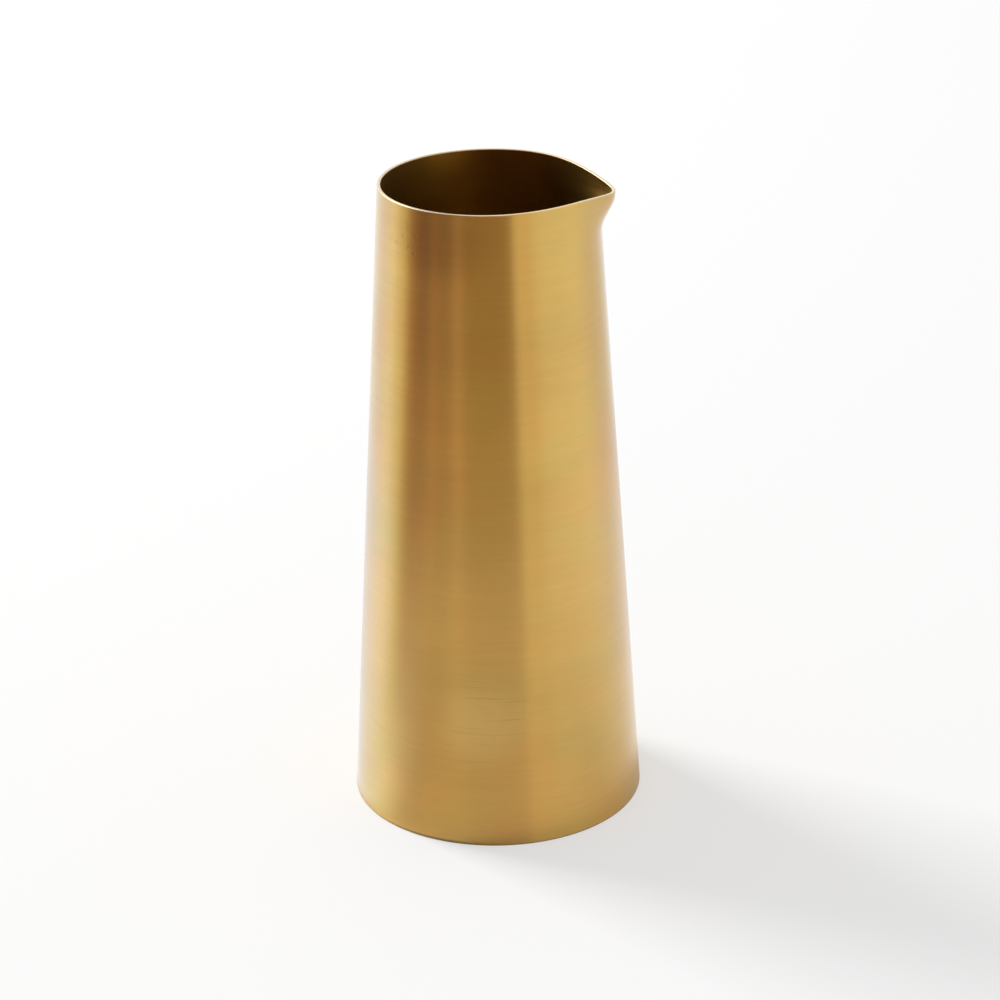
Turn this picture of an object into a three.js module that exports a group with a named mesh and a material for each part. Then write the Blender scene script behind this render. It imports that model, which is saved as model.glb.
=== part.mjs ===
// A handleless creamer made of sheet brass: a tapered wall with a pouring lip pressed out of its rim,
// and a drawn base pan that is soldered into the wide end.
// Millimetres, +Z up. The origin is on the axis, in the plane that the creamer stands on.
// The pouring lip points along +X.

import * as THREE from "three";

// The tapered wall
const HEIGHT = 132; // foot to rim, away from the lip
const FOOT_DIAMETER = 60; // outside, at the foot
const RIM_DIAMETER = 43.5; // outside, at the rim, away from the lip
const WALL_SHEET = 0.7; // thickness of the wall
const EDGE_ROUND = 0.2; // radius that the cut edges of the wall and the pan are eased to

// The pouring lip
const LIP_REACH = 3.3; // tip beyond the taper of the wall
const LIP_DROP = 2.3; // tip below the rest of the rim
const LIP_DEPTH = 10.5; // height over which the lip grows out of the wall
const LIP_HALF_ANGLE = THREE.MathUtils.degToRad(70); // from the tip to where the flank leaves the rim
const LIP_HOLLOW = 5.75; // power of the flanks' curve: 1 is straight, more is hollow
const LIP_SAG = 3.05; // power of the rim's dip towards the tip
const LIP_INSIDE_RADIUS = 5; // of the pouring edge, seen from above

// The base pan and the solder that holds it
const PAN_SHEET = 1; // thickness of the pan
const PAN_RECESS = 2.5; // its floor's underside above the foot
const PAN_INSIDE_BEND = 0.6; // radius between its floor's underside and its skirt
const SOLDER_GAP = 0.12; // clearance between pan, solder and wall
const SOLDER_CLIMB = 0.8; // height of the solder on the wall, above the pan's floor
const SOLDER_CREEP = 0.6; // width of the solder on the pan's floor, inside the bend

// How finely round surfaces are faceted
const WALL_SEGMENTS = 120;
const NOSE_CROWDING = 0.7; // share by which the wall's segments crowd towards the lip's nose
const PAN_SEGMENTS = 72;
const LIP_STEPS = 8;
const ARC_DIVISIONS = 3; // an arc gets twice as many facets
const EDGE_DIVISIONS = 1; // the same, for the eased edges of the wall

// Worked out from the sizes above
const FOOT_RADIUS = FOOT_DIAMETER / 2;
const RIM_RADIUS = RIM_DIAMETER / 2;
const TAPER = Math.atan((FOOT_RADIUS - RIM_RADIUS) / HEIGHT); // the wall's lean from upright
const LIP_START = HEIGHT - LIP_DEPTH;
const PAN_HEIGHT = PAN_RECESS + PAN_SHEET; // its top face above the foot
const PAN_BEND = PAN_INSIDE_BEND + PAN_SHEET; // radius between its top face and its skirt

// Radius of the wall's outside, as it would be with no lip.
function taperRadius(height) {
  return FOOT_RADIUS - height * Math.tan(TAPER);
}

// Radius of the wall's inside, below the lip.
function boreRadius(height) {
  return taperRadius(height) - WALL_SHEET / Math.cos(TAPER);
}

// Angle over which the flanks turn into each other at the tip, from the radius that the tip has outside.
function noseAngle() {
  const tipRadius = RIM_RADIUS + LIP_REACH;
  const flankSlope = (LIP_REACH * LIP_HOLLOW) / LIP_HALF_ANGLE;
  const outsideRadius = LIP_INSIDE_RADIUS + WALL_SHEET;
  return flankSlope / (tipRadius * tipRadius * (1 / outsideRadius - 1 / tipRadius));
}

// How near a bearing is to the lip's middle: 1 at the tip, falling to 0 where the flanks leave the rim.
function lipShare(bearing) {
  const nose = noseAngle();
  const fromTip = Math.hypot(bearing, nose) - nose;
  return Math.max(0, 1 - fromTip / LIP_HALF_ANGLE);
}

// A point of the wall's outside at a bearing from the lip, and at a height on the wall before it is pressed.
function skinPoint(bearing, height) {
  const pressed = THREE.MathUtils.smoothstep(height, LIP_START, HEIGHT);
  const share = lipShare(bearing);
  const radius = taperRadius(height) + LIP_REACH * share ** LIP_HOLLOW * pressed;
  const z = height - LIP_DROP * share ** LIP_SAG * pressed;
  return new THREE.Vector3(radius * Math.cos(bearing), radius * Math.sin(bearing), z);
}

// Outward normal of the wall's outside, from close neighbours on the skin.
function skinNormal(bearing, height) {
  const step = 1e-3;
  const around = skinPoint(bearing + step, height).sub(skinPoint(bearing - step, height));
  const upward = skinPoint(bearing, height + step).sub(skinPoint(bearing, height - step));
  return around.cross(upward).normalize();
}

// A solid of revolution about Z from a closed profile, with x as the radius and y as the height.
function revolve(profile, segments) {
  return new THREE.LatheGeometry(profile, segments).rotateX(Math.PI / 2);
}

// The wall before it is shaped: an upright ring of sheet with eased edges, finer where the lip comes.
function wallBlank() {
  const inside = FOOT_RADIUS - WALL_SHEET;
  const top = HEIGHT - EDGE_ROUND;
  const outline = new THREE.Path();
  outline.absarc(FOOT_RADIUS - EDGE_ROUND, EDGE_ROUND, EDGE_ROUND, -Math.PI / 2, 0, false);
  for (let step = 0; step < LIP_STEPS; step += 1) {
    outline.lineTo(FOOT_RADIUS, THREE.MathUtils.lerp(LIP_START, top, step / LIP_STEPS));
  }
  outline.absarc(FOOT_RADIUS - EDGE_ROUND, top, EDGE_ROUND, 0, Math.PI / 2, false);
  outline.absarc(inside + EDGE_ROUND, top, EDGE_ROUND, Math.PI / 2, Math.PI, false);
  for (let step = LIP_STEPS - 1; step >= 0; step -= 1) {
    outline.lineTo(inside, THREE.MathUtils.lerp(LIP_START, top, step / LIP_STEPS));
  }
  outline.absarc(inside + EDGE_ROUND, EDGE_ROUND, EDGE_ROUND, Math.PI, 1.5 * Math.PI, false);
  outline.closePath();
  return revolve(outline.getPoints(EDGE_DIVISIONS), WALL_SEGMENTS);
}

// Leans the blank into its taper and presses the lip out of it, keeping the sheet's thickness.
function shapeWall(blank) {
  const position = blank.getAttribute("position");
  const corner = new THREE.Vector3();
  for (let i = 0; i < position.count; i += 1) {
    corner.fromBufferAttribute(position, i);
    const turned = Math.atan2(corner.y, corner.x);
    const bearing = turned - NOSE_CROWDING * Math.sin(turned);
    const depth = FOOT_RADIUS - Math.hypot(corner.x, corner.y);
    const inward = skinNormal(bearing, corner.z).setZ(0);
    const placed = skinPoint(bearing, corner.z).addScaledVector(inward, -depth / inward.lengthSq());
    position.setXYZ(i, placed.x, placed.y, placed.z);
  }
  return blank;
}

// Centre of the arc between the pan's floor and its skirt, placed so that the skirt lies along the wall.
function bendCentre() {
  const height = PAN_HEIGHT - PAN_BEND;
  const touch = height + PAN_BEND * Math.sin(TAPER);
  const skirtRadius = boreRadius(touch) - SOLDER_GAP / Math.cos(TAPER);
  return new THREE.Vector2(skirtRadius - PAN_BEND * Math.cos(TAPER), height);
}

// A flat floor with a skirt turned down along the wall, standing level with the wall's foot.
function panGeometry() {
  const bend = bendCentre();
  const skirtRadius = boreRadius(0) - SOLDER_GAP / Math.cos(TAPER);
  const skirtInside = skirtRadius - PAN_SHEET / Math.cos(TAPER);
  const outline = new THREE.Path();
  outline.moveTo(0, PAN_RECESS);
  outline.lineTo(bend.x, PAN_RECESS);
  outline.absarc(bend.x, bend.y, PAN_INSIDE_BEND, Math.PI / 2, TAPER, true);
  outline.lineTo(skirtInside, 0);
  outline.lineTo(skirtRadius - EDGE_ROUND, 0);
  outline.lineTo(skirtRadius - EDGE_ROUND * Math.tan(TAPER), EDGE_ROUND);
  outline.absarc(bend.x, bend.y, PAN_BEND, TAPER, Math.PI / 2, false);
  outline.lineTo(0, PAN_HEIGHT);
  return revolve(outline.getPoints(ARC_DIVISIONS), PAN_SEGMENTS);
}

// The ring of solder in the groove between the pan's bend and the wall, hollow on top as it sets.
function solderGeometry() {
  const bend = bendCentre();
  const bed = PAN_BEND + SOLDER_GAP; // the solder lies on the bend
  const floor = PAN_HEIGHT + SOLDER_GAP;
  const top = PAN_HEIGHT + SOLDER_CLIMB;
  const wallSide = (height) => boreRadius(height) - SOLDER_GAP / Math.cos(TAPER);
  // The groove is filled down to where it is still as wide as the clearance.
  const lowest = Math.acos((bed - 2 * SOLDER_GAP) / bed) + TAPER;
  const lowestHeight = bend.y + bed * Math.sin(lowest);
  const inner = new THREE.Vector2(bend.x - SOLDER_CREEP, floor);
  const upper = new THREE.Vector2(wallSide(top), top);
  const corner = new THREE.Vector2(upper.x, floor);
  const outline = new THREE.Path();
  outline.moveTo(wallSide(lowestHeight), lowestHeight);
  outline.lineTo(upper.x, upper.y);
  outline.quadraticCurveTo(corner.x, corner.y, inner.x, inner.y);
  outline.absarc(bend.x, bend.y, bed, Math.PI / 2, lowest, true);
  outline.closePath();
  return revolve(outline.getPoints(ARC_DIVISIONS), PAN_SEGMENTS);
}

const brushedBrass = new THREE.MeshStandardMaterial({ color: 0xc9a45c, metalness: 1, roughness: 0.35 });
const turnedBrass = new THREE.MeshStandardMaterial({ color: 0xc29a52, metalness: 1, roughness: 0.45 });
const solder = new THREE.MeshStandardMaterial({ color: 0xb9a06a, metalness: 1, roughness: 0.5 });

function piece(name, geometry, material) {
  const mesh = new THREE.Mesh(geometry, material);
  mesh.name = name;
  return mesh;
}

const creamer = new THREE.Group();
creamer.add(piece("tapered_wall", shapeWall(wallBlank()), brushedBrass));
creamer.add(piece("base_pan", panGeometry(), turnedBrass));
creamer.add(piece("solder_fillet", solderGeometry(), solder));

export default creamer;
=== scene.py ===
"""Looks of a handleless creamer in brushed sheet brass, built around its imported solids.

Everything is in the part's own frame, in metres: +Z is up, the origin is on the axis in the plane
that the creamer stands on, and the pouring lip points along +X.
"""

import math

import bpy
import numpy as np
from mathutils import Matrix, Vector


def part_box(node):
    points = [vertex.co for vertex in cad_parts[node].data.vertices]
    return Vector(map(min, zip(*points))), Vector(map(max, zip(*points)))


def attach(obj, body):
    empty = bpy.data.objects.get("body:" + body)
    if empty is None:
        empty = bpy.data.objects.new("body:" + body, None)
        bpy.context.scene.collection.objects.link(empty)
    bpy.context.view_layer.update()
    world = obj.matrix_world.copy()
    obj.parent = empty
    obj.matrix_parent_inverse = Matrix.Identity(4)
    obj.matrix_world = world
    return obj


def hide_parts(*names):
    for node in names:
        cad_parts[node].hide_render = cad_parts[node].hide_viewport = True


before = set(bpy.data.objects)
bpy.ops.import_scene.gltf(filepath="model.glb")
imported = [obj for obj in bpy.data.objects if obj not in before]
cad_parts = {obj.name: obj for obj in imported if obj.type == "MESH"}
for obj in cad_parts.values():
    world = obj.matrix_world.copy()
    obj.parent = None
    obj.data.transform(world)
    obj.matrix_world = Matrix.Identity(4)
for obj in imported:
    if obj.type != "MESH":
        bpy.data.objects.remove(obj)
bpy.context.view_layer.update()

MM = 0.001

# The tapered wall, as in the solids
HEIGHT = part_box("tapered_wall")[1].z
FOOT_RADIUS = 30 * MM
RIM_RADIUS = 21.75 * MM
WALL_SHEET = 0.7 * MM
EDGE_ROUND = 0.2 * MM
TAPER_SLOPE = (FOOT_RADIUS - RIM_RADIUS) / HEIGHT
TAPER = math.atan(TAPER_SLOPE)

# The pouring lip, as in the solids
LIP_REACH = 3.3 * MM
LIP_DROP = 2.3 * MM
LIP_DEPTH = 10.5 * MM
LIP_HALF_ANGLE = math.radians(70)
LIP_HOLLOW = 5.75
LIP_SAG = 3.05
LIP_INSIDE_RADIUS = 5 * MM
LIP_START = HEIGHT - LIP_DEPTH

# The base pan and the solder that holds it, as in the solids
PAN_SHEET = 1 * MM
PAN_RECESS = 2.5 * MM
PAN_INSIDE_BEND = 0.6 * MM
SOLDER_GAP = 0.12 * MM
SOLDER_CLIMB = 0.8 * MM
SOLDER_CREEP = 0.6 * MM
SOLDER_UNEVEN = 0.35  # share by which the solder falls short where it ran thin
PAN_HEIGHT = PAN_RECESS + PAN_SHEET
PAN_BEND = PAN_INSIDE_BEND + PAN_SHEET

# How finely the pieces are meshed
WALL_SEGMENTS = 360
PAN_SEGMENTS = 180
NOSE_CROWDING = 0.7
ARC_STEPS = 10
EDGE_STEPS = 6
LIP_ROWS = 28
TAPER_ROWS = 24
PAN_ROWS = 12
PAN_MIDDLE = 0.05  # share of the floor's radius that a fan of triangles closes
CARD_STEPS = 72
SUPPORT = 0.06 * MM  # rows this close to an eased edge keep its shading off the flat sheet

# Colours of the metals
OUTSIDE_OLIVE = (0.68, 0.458, 0.115)
OUTSIDE_ORANGE = (0.715, 0.435, 0.11)
EDGE_DARK = (0.57, 0.435, 0.24)
EDGE_LIGHT = (0.66, 0.515, 0.3)
EDGE_WARM = (0.8, 0.56, 0.2)
SCRATCH_PALE = (0.76, 0.56, 0.19)
SPECK_BROWN = (0.3, 0.15, 0.035)
INSIDE_DARK = (0.42, 0.243, 0.036)
INSIDE_LIGHT = (0.41, 0.226, 0.038)
# Painted shade, redder, for the left of the inside
INSIDE_REDDER_SHADE = (0.37, 0.175, 0.02)
# Painted highlight for the inside of the lip's tip
TIP_PAINTED_HIGHLIGHT = (0.98, 0.72, 0.2)
PAN_DARK = (0.5, 0.3, 0.075)
PAN_LIGHT = (0.62, 0.4, 0.11)
SOLDER_DARK = (0.42, 0.35, 0.22)
SOLDER_LIGHT = (0.56, 0.47, 0.31)

# The finish of the worked metals
RELIEF = 0.05 * MM  # height of the marks of brushing and turning
SOLDER_RELIEF = 0.2 * MM
ACROSS_MARKS = 0.25  # share of a turn that sets the spread of reflections across those marks
LACQUER = 0.9
LACQUER_ROUGHNESS = 0.25
GRAIN_DEPTH = 0.08  # times the relief

# Marks on the outside and the rim's edge, and painted shade at the foot and rim, by bearing from the
# lip and height on the wall
SCRATCH_BEARING = math.radians(-97)
SCRATCH_HEIGHT = 27 * MM
SCRATCH_REACH = 15 * MM
SCRATCH_SHADE = 0.68
SCRATCH_DEPTH = 2.5  # times the relief
SCRATCH_WEAR = 0.7  # share of the pale colour in the middle of the scratched place
SPECK_BEARING = math.radians(-135)
SPECK_HEIGHT = 124 * MM
SPECK_REACH = 6.5 * MM
SPECK_STRENGTH = 0.65
# Smoke under the rim on the outside; on the rim's edge the same place also takes painted shade over its
# highlight
SMOKE_AND_RIM_SHADE_BEARING = math.radians(-119)
SMOKE_AND_RIM_SHADE_HEIGHT = 127 * MM
SMOKE_AND_RIM_SHADE_REACH = 15 * MM
SMOKE_SHADE = 0.76
RIM_PAINTED_SHADE = 0.55
# Painted contact shade: a dark line along one side of the foot's edge
FOOT_SHADE_BEARING = math.radians(-118)
FOOT_SHADE_HEIGHT = 1 * MM
FOOT_SHADE_REACH = 25 * MM
FOOT_SHADE_LEVEL = 0.25
WARM_BEARING = math.radians(-60)
WARM_REACH = 30 * MM

# Places on the inside with painted reflection, painted highlight at the tip, and painted shade, redder
# on the left
# Painted reflection: a brighter place on the inside under the rim
PAINTED_REFLECTION_BEARING = math.radians(112)
PAINTED_REFLECTION_HEIGHT = 133 * MM
PAINTED_REFLECTION_REACH = 9 * MM
PAINTED_REFLECTION_GAIN = 1.6
TIP_REACH = 4.5 * MM
# Painted shade on the inside of the lip's far flank
FLANK_SHADE_BEARING = math.radians(38)
FLANK_SHADE_HEIGHT = 127 * MM
FLANK_SHADE_REACH = 12 * MM
FLANK_SHADE_LEVEL = 0.6
# Painted shade on the left of the inside, redder there
LEFT_SHADE_BEARING = math.radians(121)
LEFT_SHADE_HEIGHT = 121 * MM
LEFT_SHADE_REACH = 19 * MM

# The camera, measured from the centre of the foot
CAMERA_DISTANCE = 0.6756
CAMERA_ELEVATION = math.radians(28.47)
CAMERA_AZIMUTH = math.radians(-1)
CAMERA_PITCH = math.radians(23.5)
CAMERA_YAW = math.radians(0.13)
CAMERA_ROLL = math.radians(-0.98)
CAMERA_LENS = 114.02  # millimetres, on Blender's usual 36 mm sensor

# The studio, with bearings counted from the camera's side of the creamer towards the lip
FLOOR_HALF = 1.8
CARD_RADIUS = 0.23
CARD_FOOT = 0.3 * MM
WALL_CARD_HEIGHT = 0.7
FLOOR_CARD_START = 34.5 * MM
FLOOR_CARD_SHIFT = 4 * MM  # of its inner edge, towards the lip's side

# What the metal mirrors: the cards' tones by bearing in degrees, so that its bands fall as photographed
WALL_CARD_TONES = [
    # The white room behind
    (-190, (1.25, 1.3, 1.4)),
    (-150, (1, 1.05, 1.1)),
    # The pale wall on the left
    (-118, (0.85, 0.85, 1.1)),
    (-106, (0.8, 0.85, 0.95)),
    (-96, (0.55, 0.5, 0.4)),
    (-89, (0.65, 0.6, 0.3)),
    # The dark room behind the camera, with two pale streaks
    (-82, (0.35, 0.1, 0.05)),
    (-60, (0.15, 0.1, 0.1)),
    (-54, (0.4, 0.2, 0.15)),
    (-48, (0.2, 0.1, 0.1)),
    (-37, (0.2, 0.1, 0.1)),
    (-30, (0.5, 0.3, 0.25)),
    (-23, (0.2, 0.1, 0.05)),
    (22, (0.2, 0.08, 0.05)),
    # The pale wall on the right
    (24, (0.85, 0.8, 0.7)),
    (36, (0.75, 0.6, 0.45)),
    (48, (0.85, 0.85, 0.8)),
    (90, (1, 1, 0.9)),
    (115, (0.85, 0.8, 0.75)),
    (135, (0.85, 0.8, 0.75)),
    # The white room behind
    (156, (1, 1.05, 1.15)),
    (170, (1.25, 1.3, 1.4)),
]
NEAR_TONES = [
    # The table close to the foot: white on the left, shaded by the creamer on the right
    (-190, (0.8, 0.8, 0.8)),
    (-118, (1, 1.1, 1.3)),
    (-75, (1.05, 1.15, 1.3)),
    (-54, (0.7, 0.65, 0.6)),
    (-40, (0.8, 0.7, 0.55)),
    (22, (0.7, 0.6, 0.55)),
    (60, (0.55, 0.5, 0.5)),
    (110, (0.95, 0.95, 1)),
    (138, (1.05, 1.05, 1.1)),
    (170, (0.8, 0.8, 0.8)),
]
FAR_TONES = [
    # The table further out: white, with a dark gap at the edge of the dark room
    (-190, (0.85, 0.85, 0.85)),
    (-118, (1, 1.2, 1.6)),
    (-104, (0.9, 1.1, 1.6)),
    (-96, (0.75, 0.85, 1.2)),
    (-88, (0.3, 0.4, 0.05)),
    (-78, (0.35, 0.1, 0.05)),
    (-60, (1.2, 0.9, 0.55)),
    (-40, (1.35, 1.25, 0.95)),
    (22, (1.35, 1.35, 1.05)),
    (60, (1.35, 1.35, 1.35)),
    (110, (0.85, 0.85, 1.05)),
    (170, (0.85, 0.85, 0.85)),
]

# The floor, the world and the lamp
FLOOR_COLOUR = 0.9
FLOOR_GLOW = 0.52
WORLD_FILL = 0.57
KEY_BEARING = math.radians(-127)
KEY_ELEVATION = math.radians(42)
KEY_DISTANCE = 2.2
KEY_SIZE = 0.72
KEY_POWER = 35


# Meshes

def lip_share(bearing):
    """How near a bearing is to the lip's middle: 1 at the tip, 0 where the flanks leave the rim."""
    tip_radius = RIM_RADIUS + LIP_REACH
    flank_slope = LIP_REACH * LIP_HOLLOW / LIP_HALF_ANGLE
    outside_radius = LIP_INSIDE_RADIUS + WALL_SHEET
    nose = flank_slope / (tip_radius**2 * (1 / outside_radius - 1 / tip_radius))
    from_tip = np.hypot(bearing, nose) - nose
    return np.maximum(0, 1 - from_tip / LIP_HALF_ANGLE)


def skin(bearing, height):
    """Points of the wall's outside at bearings from the lip and heights before it was pressed."""
    rise = np.clip((height - LIP_START) / LIP_DEPTH, 0, 1)
    pressed = rise * rise * (3 - 2 * rise)
    share = lip_share(bearing)
    radius = FOOT_RADIUS - height * TAPER_SLOPE + LIP_REACH * share**LIP_HOLLOW * pressed
    z = height - LIP_DROP * share**LIP_SAG * pressed
    return np.stack([radius * np.cos(bearing), radius * np.sin(bearing), z], -1)


def sheet_points(bearing, height, depth):
    """Points at a depth under the wall's outside, measured level, with the sheet's thickness kept."""
    step = 1e-6
    along = skin(bearing + step / RIM_RADIUS, height) - skin(bearing - step / RIM_RADIUS, height)
    upward = skin(bearing, height + step) - skin(bearing, height - step)
    normal = np.cross(along, upward)
    normal /= np.linalg.norm(normal, axis=-1, keepdims=True)
    normal[..., 2] = 0
    level = (normal**2).sum(-1, keepdims=True)
    return skin(bearing, height) - normal * depth[..., None] / level


def wall_profile():
    """Heights and depths round the section of the wall, and where its rim and its inside start."""
    quarter = np.linspace(0, math.pi / 2, EDGE_STEPS + 1)
    eased = EDGE_ROUND * (1 - np.cos(quarter))
    rising = EDGE_ROUND * np.sin(quarter)
    low, high = EDGE_ROUND, HEIGHT - EDGE_ROUND
    taper = np.linspace(low, LIP_START, TAPER_ROWS + 1)[1:-1]
    lip = np.linspace(LIP_START, high, LIP_ROWS + 1)[:-1]
    straight = np.concatenate([[low + SUPPORT], taper, lip, [high - SUPPORT]])
    rim_heights = np.concatenate([high + rising, high + rising[::-1]])
    rim_depths = np.concatenate([eased, WALL_SHEET - eased[::-1]])
    foot_heights = np.concatenate([low - rising, low - rising[::-1]])
    foot_depths = np.concatenate([WALL_SHEET - eased, eased[::-1]])
    heights = np.concatenate([straight, rim_heights, straight[::-1], foot_heights])
    depths = np.concatenate([
        np.zeros_like(straight),
        rim_depths,
        np.full_like(straight, WALL_SHEET),
        foot_depths,
    ])
    rim_row = len(straight)
    inside_row = rim_row + len(rim_heights)
    return heights, depths, rim_row, inside_row


def new_piece(name, points, faces, materials, face_materials=None):
    """A smooth mesh object in the scene."""
    mesh = bpy.data.meshes.new(name)
    mesh.from_pydata(points.tolist(), [], faces)
    for material in materials:
        mesh.materials.append(material)
    if face_materials is not None:
        mesh.polygons.foreach_set("material_index", face_materials)
    mesh.polygons.foreach_set("use_smooth", [True] * len(mesh.polygons))
    mesh.update()
    piece = bpy.data.objects.new(name, mesh)
    bpy.context.scene.collection.objects.link(piece)
    return piece


def ring_faces(rows, segments, closed=True):
    """Quads of a section, closed or open, that is carried round a full circle, row by row."""
    faces = []
    for row in range(rows if closed else rows - 1):
        for segment in range(segments):
            after = (segment + 1) % segments
            above = (row + 1) % rows
            faces.append((
                row * segments + segment,
                row * segments + after,
                above * segments + after,
                above * segments + segment,
            ))
    return faces


def make_wall(outside, rim, inside):
    """The tapered wall with its lip, eased rim and eased foot."""
    heights, depths, rim_row, inside_row = wall_profile()
    turned = np.linspace(-math.pi, math.pi, WALL_SEGMENTS, endpoint=False)
    bearings = turned - NOSE_CROWDING * np.sin(turned)
    bearing, height = np.meshgrid(bearings, heights)
    depth = np.repeat(depths[:, None], WALL_SEGMENTS, axis=1)
    points = sheet_points(bearing, height, depth).reshape(-1, 3)
    rows = len(heights)
    row_materials = np.zeros(rows, int)
    row_materials[rim_row:inside_row - 1] = 1
    row_materials[inside_row - 1:] = 2
    face_materials = np.repeat(row_materials, WALL_SEGMENTS)
    return new_piece(
        "wall", points, ring_faces(rows, WALL_SEGMENTS), [outside, rim, inside], face_materials
    )


def bore_radius(height):
    """Radius of the wall's inside, below the lip."""
    return FOOT_RADIUS - height * TAPER_SLOPE - WALL_SHEET / math.cos(TAPER)


def arc(centre, radius, start, end):
    """Points of an arc in a section, as radius and height."""
    angles = np.linspace(start, end, ARC_STEPS + 1)
    return np.stack([centre[0] + radius * np.cos(angles), centre[1] + radius * np.sin(angles)], -1)


def bend_centre():
    """Centre of the pan's bend, placed so that the skirt lies along the wall."""
    height = PAN_HEIGHT - PAN_BEND
    touch = height + PAN_BEND * math.sin(TAPER)
    skirt = bore_radius(touch) - SOLDER_GAP / math.cos(TAPER)
    return skirt - PAN_BEND * math.cos(TAPER), height


def pan_section():
    """From near the middle of the underside, round the skirt, to near the middle of the top."""
    bend = bend_centre()
    outside = bore_radius(0) - SOLDER_GAP / math.cos(TAPER)
    inside = outside - PAN_SHEET / math.cos(TAPER)
    flat = np.linspace(PAN_MIDDLE, 1, PAN_ROWS) * (bend[0] - SUPPORT)
    return np.concatenate([
        np.stack([flat, np.full_like(flat, PAN_RECESS)], -1),
        arc(bend, PAN_INSIDE_BEND, math.pi / 2, TAPER),
        arc((inside + EDGE_ROUND, EDGE_ROUND), EDGE_ROUND, math.pi, 1.5 * math.pi),
        arc((outside - EDGE_ROUND, EDGE_ROUND), EDGE_ROUND, -math.pi / 2, 0),
        arc(bend, PAN_BEND, TAPER, math.pi / 2),
        np.stack([flat[::-1], np.full_like(flat, PAN_HEIGHT)], -1),
    ])


def solder_section(thickness):
    """Up the wall, down the hollow top to the pan's floor, and back round the bend."""
    bend = bend_centre()
    bed = PAN_BEND + SOLDER_GAP
    floor = PAN_HEIGHT + SOLDER_GAP
    lowest = math.acos((bed - 2 * SOLDER_GAP) / bed) + TAPER
    top = floor + (SOLDER_CLIMB - SOLDER_GAP) * thickness
    upper = np.array([bore_radius(top) - SOLDER_GAP / math.cos(TAPER), top])
    inner = np.array([bend[0] - SOLDER_CREEP * thickness, floor])
    corner = np.array([upper[0], floor])
    share = np.linspace(0, 1, ARC_STEPS + 1)[:, None]
    hollow = upper * (1 - share) ** 2 + 2 * corner * share * (1 - share) + inner * share**2
    bed_arc = arc(bend, bed, math.pi / 2, lowest)
    foot = [(bore_radius(bed_arc[-1, 1]) - SOLDER_GAP / math.cos(TAPER), bed_arc[-1, 1])]
    return np.concatenate([foot, hollow, bed_arc])


def carried(sections, turns):
    """Points of sections, one for each turn, in rows round the axis."""
    radii, heights = sections[..., 0].T, sections[..., 1].T
    return np.stack([radii * np.cos(turns), radii * np.sin(turns), heights], -1).reshape(-1, 3)


def make_pan(material):
    """A flat floor with a skirt turned down along the wall."""
    turns = np.linspace(0, 2 * math.pi, PAN_SEGMENTS, endpoint=False)
    section = pan_section()
    points = carried(np.repeat(section[None], PAN_SEGMENTS, axis=0), turns)
    faces = ring_faces(len(section), PAN_SEGMENTS, closed=False)
    under, over = len(points), len(points) + 1
    last_row = (len(section) - 1) * PAN_SEGMENTS
    for segment in range(PAN_SEGMENTS):
        after = (segment + 1) % PAN_SEGMENTS
        faces.append((under, after, segment))
        faces.append((over, last_row + segment, last_row + after))
    points = np.vstack([points, (0, 0, PAN_RECESS), (0, 0, PAN_HEIGHT)])
    return new_piece("pan", points, faces, [material])


def make_solder(material):
    """The ring of solder in the groove between pan and wall, a little uneven as it set."""
    turns = np.linspace(0, 2 * math.pi, PAN_SEGMENTS, endpoint=False)
    wave = (np.sin(3 * turns) + np.sin(8 * turns + 1) + np.sin(19 * turns + 2)) / 6 + 0.5
    sections = np.array([solder_section(1 - SOLDER_UNEVEN * depth) for depth in wave])
    faces = ring_faces(sections.shape[1], PAN_SEGMENTS)
    return new_piece("solder", carried(sections, turns), faces, [material])


# Materials

def new_material(name):
    """A node material, its tree and its surface shader."""
    material = bpy.data.materials.new(name)
    material.use_nodes = True
    return material, material.node_tree, material.node_tree.nodes["Principled BSDF"]


def add_node(tree, kind, **values):
    """A new node with some of its properties set."""
    node = tree.nodes.new(kind)
    for name, value in values.items():
        setattr(node, name, value)
    return node


def feed(tree, socket, value):
    """Links another node's output to a socket, or sets a plain value on it."""
    if isinstance(value, bpy.types.NodeSocket):
        tree.links.new(value, socket)
    else:
        socket.default_value = value


def place_on_part(tree):
    """Coordinates in the part's own frame."""
    return add_node(tree, "ShaderNodeTexCoord").outputs["Object"]


def calc(tree, operation, *values):
    """The result of a sum or another operation on values."""
    node = add_node(tree, "ShaderNodeMath", operation=operation)
    for socket, value in zip(node.inputs, values):
        feed(tree, socket, value)
    return node.outputs["Value"]


def stretched_noise(tree, scale, detail, roughness):
    """Noise with its own scale along each axis, in waves per metre."""
    mapping = add_node(tree, "ShaderNodeMapping")
    mapping.inputs["Scale"].default_value = scale
    noise = add_node(tree, "ShaderNodeTexNoise")
    noise.inputs["Scale"].default_value = 1
    noise.inputs["Detail"].default_value = detail
    noise.inputs["Roughness"].default_value = roughness
    tree.links.new(place_on_part(tree), mapping.inputs["Vector"])
    tree.links.new(mapping.outputs["Vector"], noise.inputs["Vector"])
    return noise.outputs["Fac"]


def ring_noise(tree, waves):
    """Noise that changes only with the distance from the axis, in waves per metre."""
    level = add_node(tree, "ShaderNodeVectorMath", operation="MULTIPLY")
    level.inputs[1].default_value = (1, 1, 0)
    tree.links.new(place_on_part(tree), level.inputs[0])
    length = add_node(tree, "ShaderNodeVectorMath", operation="LENGTH")
    tree.links.new(level.outputs["Vector"], length.inputs[0])
    noise = add_node(tree, "ShaderNodeTexNoise", noise_dimensions="1D")
    noise.inputs["Scale"].default_value = 1
    noise.inputs["Detail"].default_value = 3
    feed(tree, noise.inputs["W"], calc(tree, "MULTIPLY", length.outputs["Value"], waves))
    return noise.outputs["Fac"]


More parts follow.
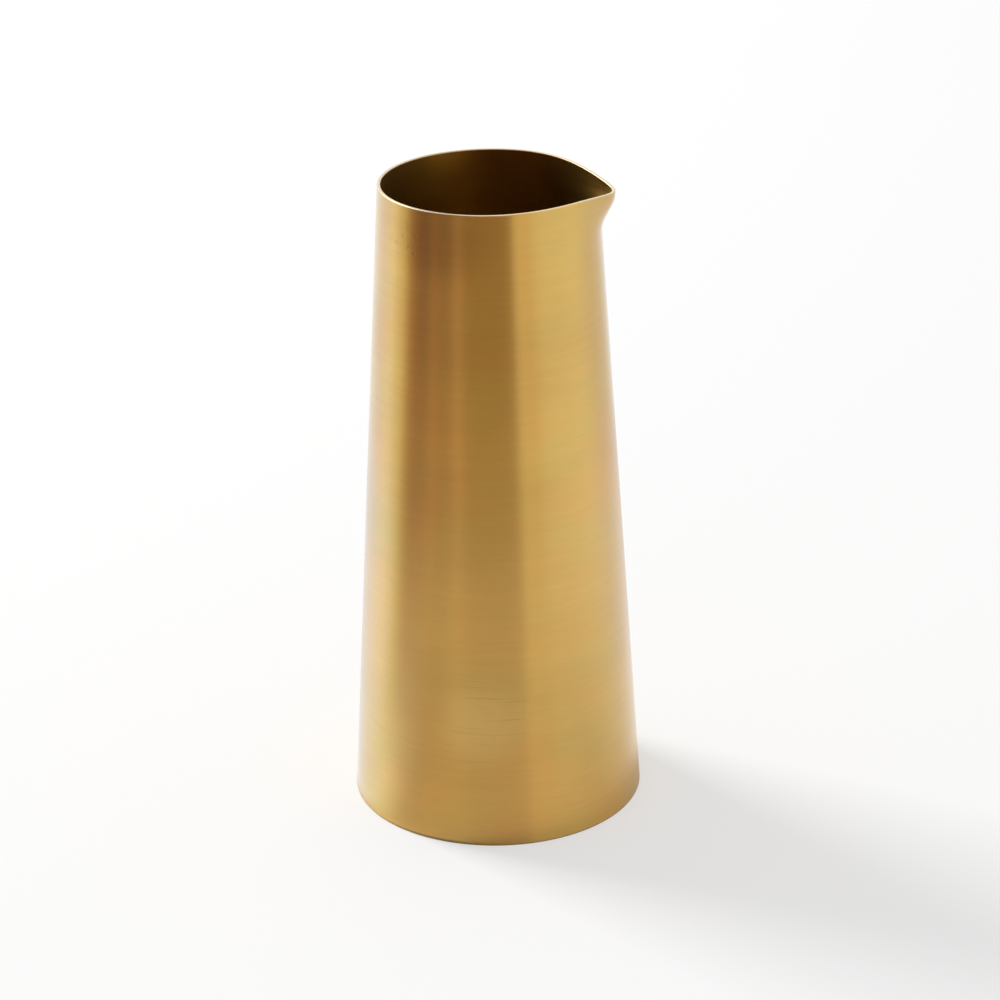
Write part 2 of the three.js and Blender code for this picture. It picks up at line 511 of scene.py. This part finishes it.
def ramp(tree, value, stops):
    """A colour ramp over a value: (position, colour) pairs."""
    node = add_node(tree, "ShaderNodeValToRGB")
    elements = node.color_ramp.elements
    while len(elements) < len(stops):
        elements.new(0.5)
    for element, (position, colour) in zip(elements, stops):
        element.position = position
        element.color = (*colour, 1)
    tree.links.new(value, node.inputs["Fac"])
    return node.outputs["Color"]


def spread(tree, value, low, high, start=0, end=1):
    """A value between start and end brought smoothly into another range, and held at its ends."""
    node = add_node(tree, "ShaderNodeMapRange", interpolation_type="SMOOTHSTEP")
    limits = {"From Min": start, "From Max": end, "To Min": low, "To Max": high}
    for name, limit in limits.items():
        node.inputs[name].default_value = limit
    tree.links.new(value, node.inputs["Value"])
    return node.outputs["Result"]


def spot(tree, bearing, height, reach, beyond=0):
    """1 at a place on the taper, or beyond it, by bearing from the lip, and 0 at a reach from there."""
    radius = FOOT_RADIUS - height * TAPER_SLOPE + beyond
    away = add_node(tree, "ShaderNodeVectorMath", operation="DISTANCE")
    away.inputs[1].default_value = (radius * math.cos(bearing), radius * math.sin(bearing), height)
    tree.links.new(place_on_part(tree), away.inputs[0])
    return spread(tree, away.outputs["Value"], 1, 0, 0, reach)


def shaded(tree, colour, *shades):
    """A colour made lighter or darker by each of some shades."""
    for shade in shades:
        scale = add_node(tree, "ShaderNodeVectorMath", operation="SCALE")
        tree.links.new(colour, scale.inputs[0])
        tree.links.new(shade, scale.inputs["Scale"])
        colour = scale.outputs["Vector"]
    return colour


def blend(tree, share, first, second):
    """A colour that goes from a first to a second as a share rises from 0 to 1."""
    node = add_node(tree, "ShaderNodeMixRGB")
    tree.links.new(share, node.inputs["Fac"])
    feed(tree, node.inputs["Color1"], first)
    feed(tree, node.inputs["Color2"], second)
    return node.outputs["Color"]


def bump(tree, height, strength, distance):
    """Normals that follow a relief."""
    node = add_node(tree, "ShaderNodeBump")
    node.inputs["Strength"].default_value = strength
    node.inputs["Distance"].default_value = distance
    tree.links.new(height, node.inputs["Height"])
    return node.outputs["Normal"]


def finish_metal(tree, shader, colour, roughness, normal, anisotropy):
    """Lacquered metal worked round the axis: sharp along the marks, spread out across them."""
    tree.links.new(colour, shader.inputs["Base Color"])
    tree.links.new(roughness, shader.inputs["Roughness"])
    tree.links.new(normal, shader.inputs["Normal"])
    tangent = add_node(tree, "ShaderNodeTangent", direction_type="RADIAL", axis="Z")
    tree.links.new(tangent.outputs["Tangent"], shader.inputs["Tangent"])
    shader.inputs["Metallic"].default_value = 1
    shader.inputs["Anisotropic"].default_value = anisotropy
    shader.inputs["Anisotropic Rotation"].default_value = ACROSS_MARKS
    shader.inputs["Coat Weight"].default_value = LACQUER
    shader.inputs["Coat Roughness"].default_value = LACQUER_ROUGHNESS


def scratches(tree):
    """Fine level scratches, most of them in one rubbed place and a few all over."""
    lines = spread(tree, stretched_noise(tree, (60, 60, 3400), 0, 0), 0, 1, 0.63, 0.73)
    rubbed = spot(tree, SCRATCH_BEARING, SCRATCH_HEIGHT, SCRATCH_REACH)
    strays = spread(tree, stretched_noise(tree, (70, 70, 110), 0, 0), 0, 0.12, 0.6, 0.75)
    return calc(tree, "MULTIPLY", lines, calc(tree, "MAXIMUM", rubbed, strays))


def specks(tree):
    """Tiny brown specks in the lacquer, in one place under the rim."""
    dots = spread(tree, stretched_noise(tree, (1100, 1100, 800), 0, 0), 0, SPECK_STRENGTH, 0.66, 0.84)
    return calc(tree, "MULTIPLY", dots, spot(tree, SPECK_BEARING, SPECK_HEIGHT, SPECK_REACH))


def painted_foot_shade(tree):
    """A line of painted contact shade along the edge of the foot, on one side."""
    split = add_node(tree, "ShaderNodeSeparateXYZ")
    tree.links.new(place_on_part(tree), split.inputs["Vector"])
    low = spread(tree, split.outputs["Z"], 1, 0, 0, FOOT_SHADE_HEIGHT)
    return calc(tree, "MULTIPLY", low, spot(tree, FOOT_SHADE_BEARING, 0, FOOT_SHADE_REACH))


def outside_brass():
    """The outside: clouded brass, brushed round the axis, with small marks of use and painted contact
    shade at the foot.
    """
    material, tree, shader = new_material("brushed_brass")
    grain = stretched_noise(tree, (50, 50, 900), 5, 0.7)
    warmth = stretched_noise(tree, (55, 55, 75), 2, 0.5)
    cloud = stretched_noise(tree, (22, 22, 40), 3, 0.5)
    marks = scratches(tree)
    metal = shaded(
        tree,
        ramp(tree, warmth, [(0.35, OUTSIDE_OLIVE), (0.65, OUTSIDE_ORANGE)]),
        spread(tree, cloud, 0.94, 1.06, 0.3, 0.7),
        spread(tree, grain, 0.975, 1.025, 0.3, 0.7),
        spread(tree, marks, 1, SCRATCH_SHADE),
        spread(tree, spot(tree, SMOKE_AND_RIM_SHADE_BEARING, SMOKE_AND_RIM_SHADE_HEIGHT, SMOKE_AND_RIM_SHADE_REACH), 1, SMOKE_SHADE),
        # painted contact shade along one side of the foot's edge
        spread(tree, painted_foot_shade(tree), 1, FOOT_SHADE_LEVEL),
    )
    worn = spread(tree, spot(tree, SCRATCH_BEARING, SCRATCH_HEIGHT, SCRATCH_REACH), 0, SCRATCH_WEAR)
    metal = blend(tree, worn, metal, (*SCRATCH_PALE, 1))
    colour = blend(tree, specks(tree), metal, (*SPECK_BROWN, 1))
    brushed = calc(tree, "MULTIPLY", grain, GRAIN_DEPTH)
    relief = calc(tree, "MULTIPLY_ADD", marks, -SCRATCH_DEPTH, brushed)
    normal = bump(tree, relief, 0.15, RELIEF)
    finish_metal(tree, shader, colour, spread(tree, grain, 0.35, 0.37), normal, 0.9)
    return material


def edge_brass():
    """The cut edge of the rim: paler than the wall, warm at the front, and smoked and darkened by
    painted shade on one side.
    """
    material, tree, shader = new_material("rim_brass")
    grain = stretched_noise(tree, (300, 300, 1800), 3, 0.6)
    metal = ramp(tree, grain, [(0.3, EDGE_DARK), (0.7, EDGE_LIGHT)])
    metal = blend(tree, spot(tree, WARM_BEARING, HEIGHT, WARM_REACH), metal, (*EDGE_WARM, 1))
    # the smoke carried over the rim's edge, made darker there as painted shade over the rim's highlight
    rim_shade = spot(tree, SMOKE_AND_RIM_SHADE_BEARING, SMOKE_AND_RIM_SHADE_HEIGHT, SMOKE_AND_RIM_SHADE_REACH)
    colour = shaded(tree, metal, spread(tree, rim_shade, 1, RIM_PAINTED_SHADE))
    normal = bump(tree, grain, 0.1, RELIEF)
    finish_metal(tree, shader, colour, spread(tree, grain, 0.45, 0.6), normal, 0.3)
    return material


def inside_brass():
    """The inside: dark brown and clouded, with painted reflection and shade in places, and a painted
    highlight at the lip's tip.
    """
    material, tree, shader = new_material("inside_brass")
    grain = stretched_noise(tree, (30, 30, 1800), 4, 0.65)
    cloud = stretched_noise(tree, (60, 60, 60), 3, 0.5)
    # painted shade on the left of the inside, redder than the rest
    redder_shade = spot(tree, LEFT_SHADE_BEARING, LEFT_SHADE_HEIGHT, LEFT_SHADE_REACH)
    metal = ramp(tree, cloud, [(0.3, INSIDE_DARK), (0.7, INSIDE_LIGHT)])
    metal = shaded(
        tree,
        blend(tree, redder_shade, metal, (*INSIDE_REDDER_SHADE, 1)),
        # painted reflection under the rim
        spread(tree, spot(tree, PAINTED_REFLECTION_BEARING, PAINTED_REFLECTION_HEIGHT, PAINTED_REFLECTION_REACH), 1, PAINTED_REFLECTION_GAIN),
        # painted shade on the far flank
        spread(tree, spot(tree, FLANK_SHADE_BEARING, FLANK_SHADE_HEIGHT, FLANK_SHADE_REACH), 1, FLANK_SHADE_LEVEL),
    )
    # painted highlight at the inside of the lip's tip
    tip = spot(tree, 0, HEIGHT - LIP_DROP, TIP_REACH, LIP_REACH)
    colour = blend(tree, tip, metal, (*TIP_PAINTED_HIGHLIGHT, 1))
    normal = bump(tree, grain, 0.08, RELIEF)
    finish_metal(tree, shader, colour, spread(tree, grain, 0.3, 0.42), normal, 0.6)
    return material


def turned_brass():
    """The pan: fine rings from the lathe, browned in clouds."""
    material, tree, shader = new_material("turned_brass")
    rings = ring_noise(tree, 1500)
    cloud = stretched_noise(tree, (70, 70, 70), 3, 0.5)
    colour = shaded(
        tree,
        ramp(tree, cloud, [(0.3, PAN_DARK), (0.7, PAN_LIGHT)]),
        spread(tree, rings, 0.9, 1.1, 0.3, 0.7),
    )
    normal = bump(tree, rings, 0.3, RELIEF)
    finish_metal(tree, shader, colour, spread(tree, rings, 0.3, 0.5), normal, 0.7)
    return material


def solder_metal():
    """The solder: greyer than the brass, lumpy and dull."""
    material, tree, shader = new_material("solder")
    lumps = stretched_noise(tree, (400, 400, 400), 3, 0.55)
    colour = ramp(tree, lumps, [(0.3, SOLDER_DARK), (0.7, SOLDER_LIGHT)])
    normal = bump(tree, lumps, 0.4, SOLDER_RELIEF)
    finish_metal(tree, shader, colour, spread(tree, lumps, 0.35, 0.55), normal, 0)
    return material


# Studio

def bearing_direction(bearing):
    """Level direction at a bearing that is counted from the camera's side towards the lip."""
    angle = CAMERA_AZIMUTH - math.pi / 2 + bearing
    return Vector((math.cos(angle), math.sin(angle), 0))


def make_camera():
    """The camera at the photograph's viewing angle."""
    data = bpy.data.cameras.new("camera")
    data.lens = CAMERA_LENS
    camera = bpy.data.objects.new("camera", data)
    bpy.context.scene.collection.objects.link(camera)
    place = bearing_direction(0) * CAMERA_DISTANCE * math.cos(CAMERA_ELEVATION)
    place.z = CAMERA_DISTANCE * math.sin(CAMERA_ELEVATION)
    turn = Matrix.Rotation(CAMERA_AZIMUTH - CAMERA_YAW, 4, "Z")
    tilt = Matrix.Rotation(math.pi / 2 - CAMERA_PITCH, 4, "X")
    roll = Matrix.Rotation(CAMERA_ROLL, 4, "Z")
    camera.matrix_world = Matrix.Translation(place) @ turn @ tilt @ roll
    bpy.context.scene.camera = camera


def seen_directly(tree):
    """1 for rays that show a thing, straight or in metal, and 0 for those that only gather light."""
    path = add_node(tree, "ShaderNodeLightPath").outputs
    shown = calc(tree, "MAXIMUM", path["Is Camera Ray"], path["Is Glossy Ray"])
    return calc(tree, "MAXIMUM", shown, path["Is Transmission Ray"])


def floor_material():
    """Matte and pale, and lifted towards white for the camera, with the shadow kept."""
    material, tree, shader = new_material("floor")
    shader.inputs["Base Color"].default_value = (FLOOR_COLOUR, FLOOR_COLOUR, FLOOR_COLOUR, 1)
    shader.inputs["Roughness"].default_value = 1
    shader.inputs["Specular IOR Level"].default_value = 0
    glow = add_node(tree, "ShaderNodeEmission")
    mix = add_node(tree, "ShaderNodeMixShader")
    path = add_node(tree, "ShaderNodeLightPath")
    tree.links.new(spread(tree, path.outputs["Is Camera Ray"], 0, FLOOR_GLOW), mix.inputs["Fac"])
    tree.links.new(shader.outputs["BSDF"], mix.inputs[1])
    tree.links.new(glow.outputs["Emission"], mix.inputs[2])
    tree.links.new(mix.outputs["Shader"], tree.nodes["Material Output"].inputs["Surface"])
    return material


def make_floor():
    """The pale top of the table."""
    corners = np.array([
        (-FLOOR_HALF, -FLOOR_HALF, 0),
        (FLOOR_HALF, -FLOOR_HALF, 0),
        (FLOOR_HALF, FLOOR_HALF, 0),
        (-FLOOR_HALF, FLOOR_HALF, 0),
    ])
    floor = new_piece("floor", corners, [(0, 1, 2, 3)], [floor_material()])
    floor.rotation_euler.z = CAMERA_AZIMUTH


def card_material(name, inner_tones, outer_tones):
    """Glows with tones that change along the card and from its inner edge to its outer edge."""
    material, tree, _ = new_material(name)
    glow = add_node(tree, "ShaderNodeEmission")
    uv = add_node(tree, "ShaderNodeUVMap")
    split = add_node(tree, "ShaderNodeSeparateXYZ")
    tree.links.new(uv.outputs["UV"], split.inputs["Vector"])
    edges = []
    for tones in (inner_tones, outer_tones):
        first, last = tones[0][0], tones[-1][0]
        stops = [((degrees - first) / (last - first), colour) for degrees, colour in tones]
        edges.append(ramp(tree, split.outputs["X"], stops))
    tree.links.new(blend(tree, split.outputs["Y"], *edges), glow.inputs["Color"])
    tree.links.new(glow.outputs["Emission"], tree.nodes["Material Output"].inputs["Surface"])
    return material


def make_card(name, inner_edge, outer_edge, inner_tones, outer_tones):
    """A card all round the creamer that shows only in its metal. Its edges are (centre, radius)."""
    first, last = math.radians(inner_tones[0][0]), math.radians(inner_tones[-1][0])
    points = []
    for step in range(CARD_STEPS + 1):
        out = bearing_direction(first + (last - first) * step / CARD_STEPS)
        for centre, radius in (inner_edge, outer_edge):
            points.append(centre + out * radius)
    faces = [(2 * step, 2 * step + 2, 2 * step + 3, 2 * step + 1) for step in range(CARD_STEPS)]
    material = card_material(name, inner_tones, outer_tones)
    card = new_piece(name, np.array(points), faces, [material])
    layer = card.data.uv_layers.new(name="along")
    for loop in card.data.loops:
        layer.data[loop.index].uv = (loop.vertex_index // 2 / CARD_STEPS, loop.vertex_index % 2)
    card.visible_camera = False
    card.visible_diffuse = False
    card.visible_shadow = False


def make_light(name, bearing, elevation, distance, size, power):
    """A square soft light that faces the middle of the creamer."""
    data = bpy.data.lights.new(name, "AREA")
    data.size = size
    data.energy = power
    light = bpy.data.objects.new(name, data)
    bpy.context.scene.collection.objects.link(light)
    out = bearing_direction(bearing) * math.cos(elevation)
    out.z = math.sin(elevation)
    light.location = Vector((0, 0, HEIGHT / 2)) + out * distance
    light.rotation_euler = (-out).to_track_quat("-Z", "Y").to_euler()
    light.visible_camera = False


def make_world():
    """Plain white where it is seen, and dimmer where it only lights."""
    world = bpy.data.worlds.new("studio")
    bpy.context.scene.world = world
    world.use_nodes = True
    tree = world.node_tree
    background = tree.nodes["Background"]
    background.inputs["Color"].default_value = (1, 1, 1, 1)
    tree.links.new(spread(tree, seen_directly(tree), WORLD_FILL, 1), background.inputs["Strength"])


# The scene

make_camera()
make_world()
make_floor()
card_foot = Vector((0, 0, CARD_FOOT))
card_top = Vector((0, 0, WALL_CARD_HEIGHT))
lip_side = card_foot + Vector((FLOOR_CARD_SHIFT, 0, 0))
ring_foot = (card_foot, CARD_RADIUS)
ring_top = (card_top, CARD_RADIUS)
make_card("wall_card", ring_foot, ring_top, WALL_CARD_TONES, WALL_CARD_TONES)
make_card("floor_card", (lip_side, FLOOR_CARD_START), ring_foot, NEAR_TONES, FAR_TONES)
make_light("key", KEY_BEARING, KEY_ELEVATION, KEY_DISTANCE, KEY_SIZE, KEY_POWER)

wall = make_wall(outside_brass(), edge_brass(), inside_brass())
pan = make_pan(turned_brass())
solder = make_solder(solder_metal())
for piece, node, slot in (
    (wall, "tapered_wall", "brushed_brass"),
    (pan, "base_pan", "turned_brass"),
    (solder, "solder_fillet", "solder"),
):
    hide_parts(node)
    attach(piece, "root")

bpy.context.scene.view_settings.view_transform = "Standard"
